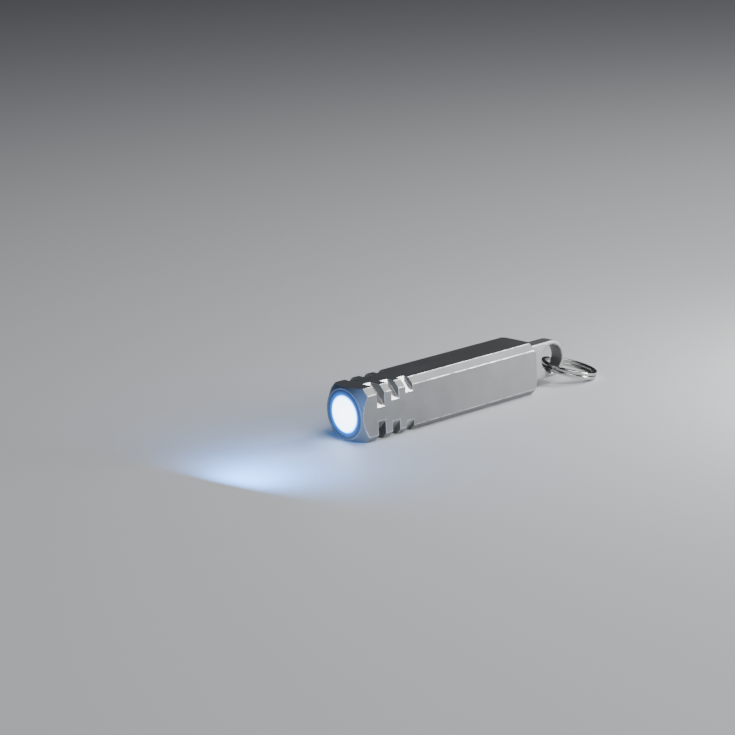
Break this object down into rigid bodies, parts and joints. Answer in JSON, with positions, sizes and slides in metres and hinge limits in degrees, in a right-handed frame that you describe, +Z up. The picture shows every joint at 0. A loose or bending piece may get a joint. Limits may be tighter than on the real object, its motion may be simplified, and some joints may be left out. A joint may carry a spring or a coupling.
{
  "type": "keychain flashlight",
  "caption": "Square metal pocket flashlight with a lit front lens, grip grooves across its edges, a screw plug with an eyelet, and a split key ring.",
  "frame": {"origin": "middle of the housing's lower flat, on the surface the flashlight lies on", "axes": "+X along the barrel from the lens to the key ring, +Z up from the lower flat, +Y to the left when looking along +X"},
  "size_m": [0.0857, 0.0164, 0.014],
  "materials": {
    "body": "bead-blasted, clear anodised, satin",
    "bezel": "turned, clear anodised",
    "lens": "polished, lit from behind",
    "seal": "matt moulded",
    "mirror": "vacuum metallised",
    "led_dome": "clear silicone, lit",
    "led_package": "white ceramic",
    "white_board": "white solder mask on metal core",
    "lead": "insulated lead",
    "brass": "drawn brass",
    "ferrite": "pressed ferrite",
    "chip": "moulded epoxy",
    "green_board": "green solder mask",
    "gold": "gold plated",
    "black_plastic": "moulded nylon",
    "nickel": "nickel plated steel",
    "gasket": "moulded nylon",
    "steel": "drawn nickel plated steel",
    "cathode_mix": "pressed manganese dioxide and graphite",
    "separator": "wetted paper",
    "zinc_gel": "zinc paste",
    "sleeve": "shrink film, plain",
    "liner": "polyester film",
    "spring": "nickel plated spring wire",
    "plug": "bead-blasted, clear anodised, satin",
    "ring": "nickel plated, polished"
  },
  "bodies": {
    "light": {"housing": "body", "bezel_ring": "bezel", "lens": "lens", "lens_seal": "seal", "reflector": "mirror", "led_dome": "led_dome", "led_package": "led_package", "led_board": "white_board", "led_leads": "lead", "driver_cup": "brass", "driver_coil": "ferrite", "driver_chips": "chip", "driver_board": "green_board", "positive_contact": "gold", "contact_spacer": "black_plastic", "cell_can": "steel", "cell_cathode": "cathode_mix", "cell_separator": "separator", "cell_anode": "zinc_gel", "cell_pin": "brass", "cell_gasket": "gasket", "cell_base": "nickel", "cell_sleeve": "sleeve", "cell_liner": "liner"},
    "spring": {"tail_spring": "spring", "spring_washer": "brass"},
    "plug": {"tail_plug": "plug", "plug_seal": "seal"},
    "ring": {"split_ring": "ring"}
  },
  "joints": [
    {"name": "plug_travel", "type": "slide", "parent": "light", "child": "spring", "axis": [1, 0, 0], "range_m": [0, 0.00375], "deforming": ["tail_spring"]},
    {"name": "plug_twist", "type": "hinge", "parent": "spring", "child": "plug", "pos_m": [0.03, 0, 0.007], "axis": [1, 0, 0], "range_deg": [0, 1800]},
    {"name": "ring_swing", "type": "hinge", "parent": "plug", "child": "ring", "pos_m": [0.04095, 0, 0.007], "axis": [0, 1, 0], "range_deg": [-155, 105]}
  ],
  "couplings": [
    {"joint": "plug_travel", "follows": "plug_twist", "m_per_rad": 0.00011937}
  ]
}
